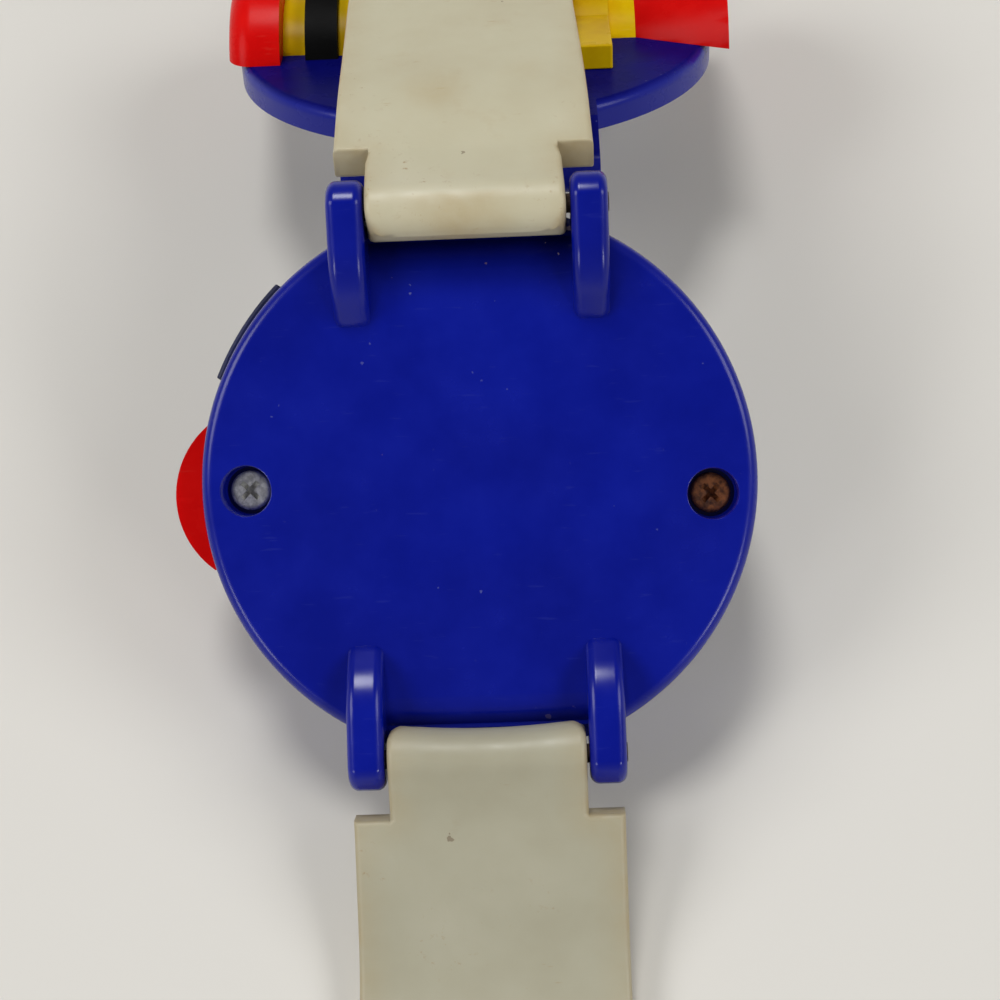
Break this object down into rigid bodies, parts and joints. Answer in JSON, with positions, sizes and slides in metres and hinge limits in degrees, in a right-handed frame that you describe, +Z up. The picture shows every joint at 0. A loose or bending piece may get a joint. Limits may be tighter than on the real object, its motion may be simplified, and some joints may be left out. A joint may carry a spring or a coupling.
{
  "type": "toy watch",
  "caption": "Toy wrist watch with a round flip-up lid that carries a rocket relief, a side release button, a set key and a buckled strap, standing open as a tent.",
  "frame": {"origin": "middle of the flat case back", "axes": "+X across the case, +Y along the straps towards the buckle, level with the table, +Z up from the table"},
  "size_m": [0.0479, 0.2104, 0.0327],
  "materials": {
    "blue_plastic": "moulded ABS, satin gloss with scuffed edges",
    "navy_plastic": "moulded dark blue key",
    "red_plastic": "moulded ABS, satin gloss",
    "yellow_plastic": "moulded ABS, satin gloss",
    "black_plastic": "moulded ABS, satin gloss",
    "white_plastic": "moulded frame",
    "strap_vinyl": "soft off-white vinyl, matt and slightly stained",
    "clear_plastic": "clear polished plastic",
    "silver_plate": "silver paint",
    "display_glass": "grey-green display panel",
    "board": "solder mask",
    "elastomer": "matt elastomer",
    "steel": "bright plated steel",
    "screw_steel": "dull plated steel",
    "rusty_steel": "rusted steel",
    "pin_steel": "tarnished steel"
  },
  "bodies": {
    "case": {"back_cover": "blue_plastic", "case_shell": "blue_plastic", "case_screw_left": "screw_steel", "case_screw_right": "rusty_steel", "display_window": "clear_plastic", "face_plate": "silver_plate", "display_panel": "display_glass", "module_frame": "white_plastic", "contact_strips": "elastomer", "circuit_board": "board", "chip_cap": "black_plastic", "button_cell": "steel", "battery_clip": "steel", "switch_contacts": "steel", "lid_hinge_pin": "steel", "strap_pin_upper": "pin_steel", "strap_pin_lower": "pin_steel", "button_springs": "steel"},
    "lid": {"lid_shell": "blue_plastic", "rocket_nose": "red_plastic", "rocket_collar": "yellow_plastic", "rocket_band": "black_plastic", "rocket_body": "yellow_plastic", "rocket_fins": "yellow_plastic", "rocket_porthole": "black_plastic", "rocket_lens": "clear_plastic", "rocket_neck": "yellow_plastic", "rocket_tail": "red_plastic"},
    "release_button": {"release_button": "red_plastic"},
    "set_key": {"set_key": "navy_plastic"},
    "strap_upper": {"strap_upper": "strap_vinyl"},
    "keeper": {"strap_keeper": "strap_vinyl"},
    "buckle": {"buckle_frame": "steel", "buckle_pin": "steel"},
    "tongue": {"buckle_tongue": "steel"},
    "strap_lower": {"strap_lower": "strap_vinyl"}
  },
  "joints": [
    {"name": "lid_hinge", "type": "hinge", "parent": "case", "child": "lid", "pos_m": [0, 0.02652, 0.00456], "axis": [1, 0, 0], "range_deg": [-121.1, 0]},
    {"name": "release_button_press", "type": "slide", "parent": "case", "child": "release_button", "axis": [1, 0, 0], "range_m": [0, 0.0012], "stiffness_N_per_m": 400, "springref_m": -0.001, "deforming": ["button_springs"]},
    {"name": "set_key_press", "type": "slide", "parent": "case", "child": "set_key", "axis": [0.8211, -0.4999, -0.2754], "range_m": [0, 0.0006], "stiffness_N_per_m": 400, "springref_m": -0.0005},
    {"name": "strap_upper_hinge", "type": "hinge", "parent": "case", "child": "strap_upper", "pos_m": [0, 0.01816, 0.01138], "axis": [1, 0, 0], "range_deg": [0, 135]},
    {"name": "strap_lower_hinge", "type": "hinge", "parent": "case", "child": "strap_lower", "pos_m": [0, -0.01932, -0.00928], "axis": [1, 0, 0], "range_deg": [-75, 38]},
    {"name": "keeper_slide", "type": "slide", "parent": "strap_upper", "child": "keeper", "axis": [0, 1, 0], "range_m": [-0.004, 0.0015]},
    {"name": "buckle_hinge", "type": "hinge", "parent": "strap_upper", "child": "buckle", "pos_m": [0, 0.09309, -0.01644], "axis": [1, 0, 0], "range_deg": [0, 100]},
    {"name": "tongue_hinge", "type": "hinge", "parent": "buckle", "child": "tongue", "pos_m": [0, 0.09309, -0.01644], "axis": [1, 0, 0], "range_deg": [-90, 0]}
  ]
}
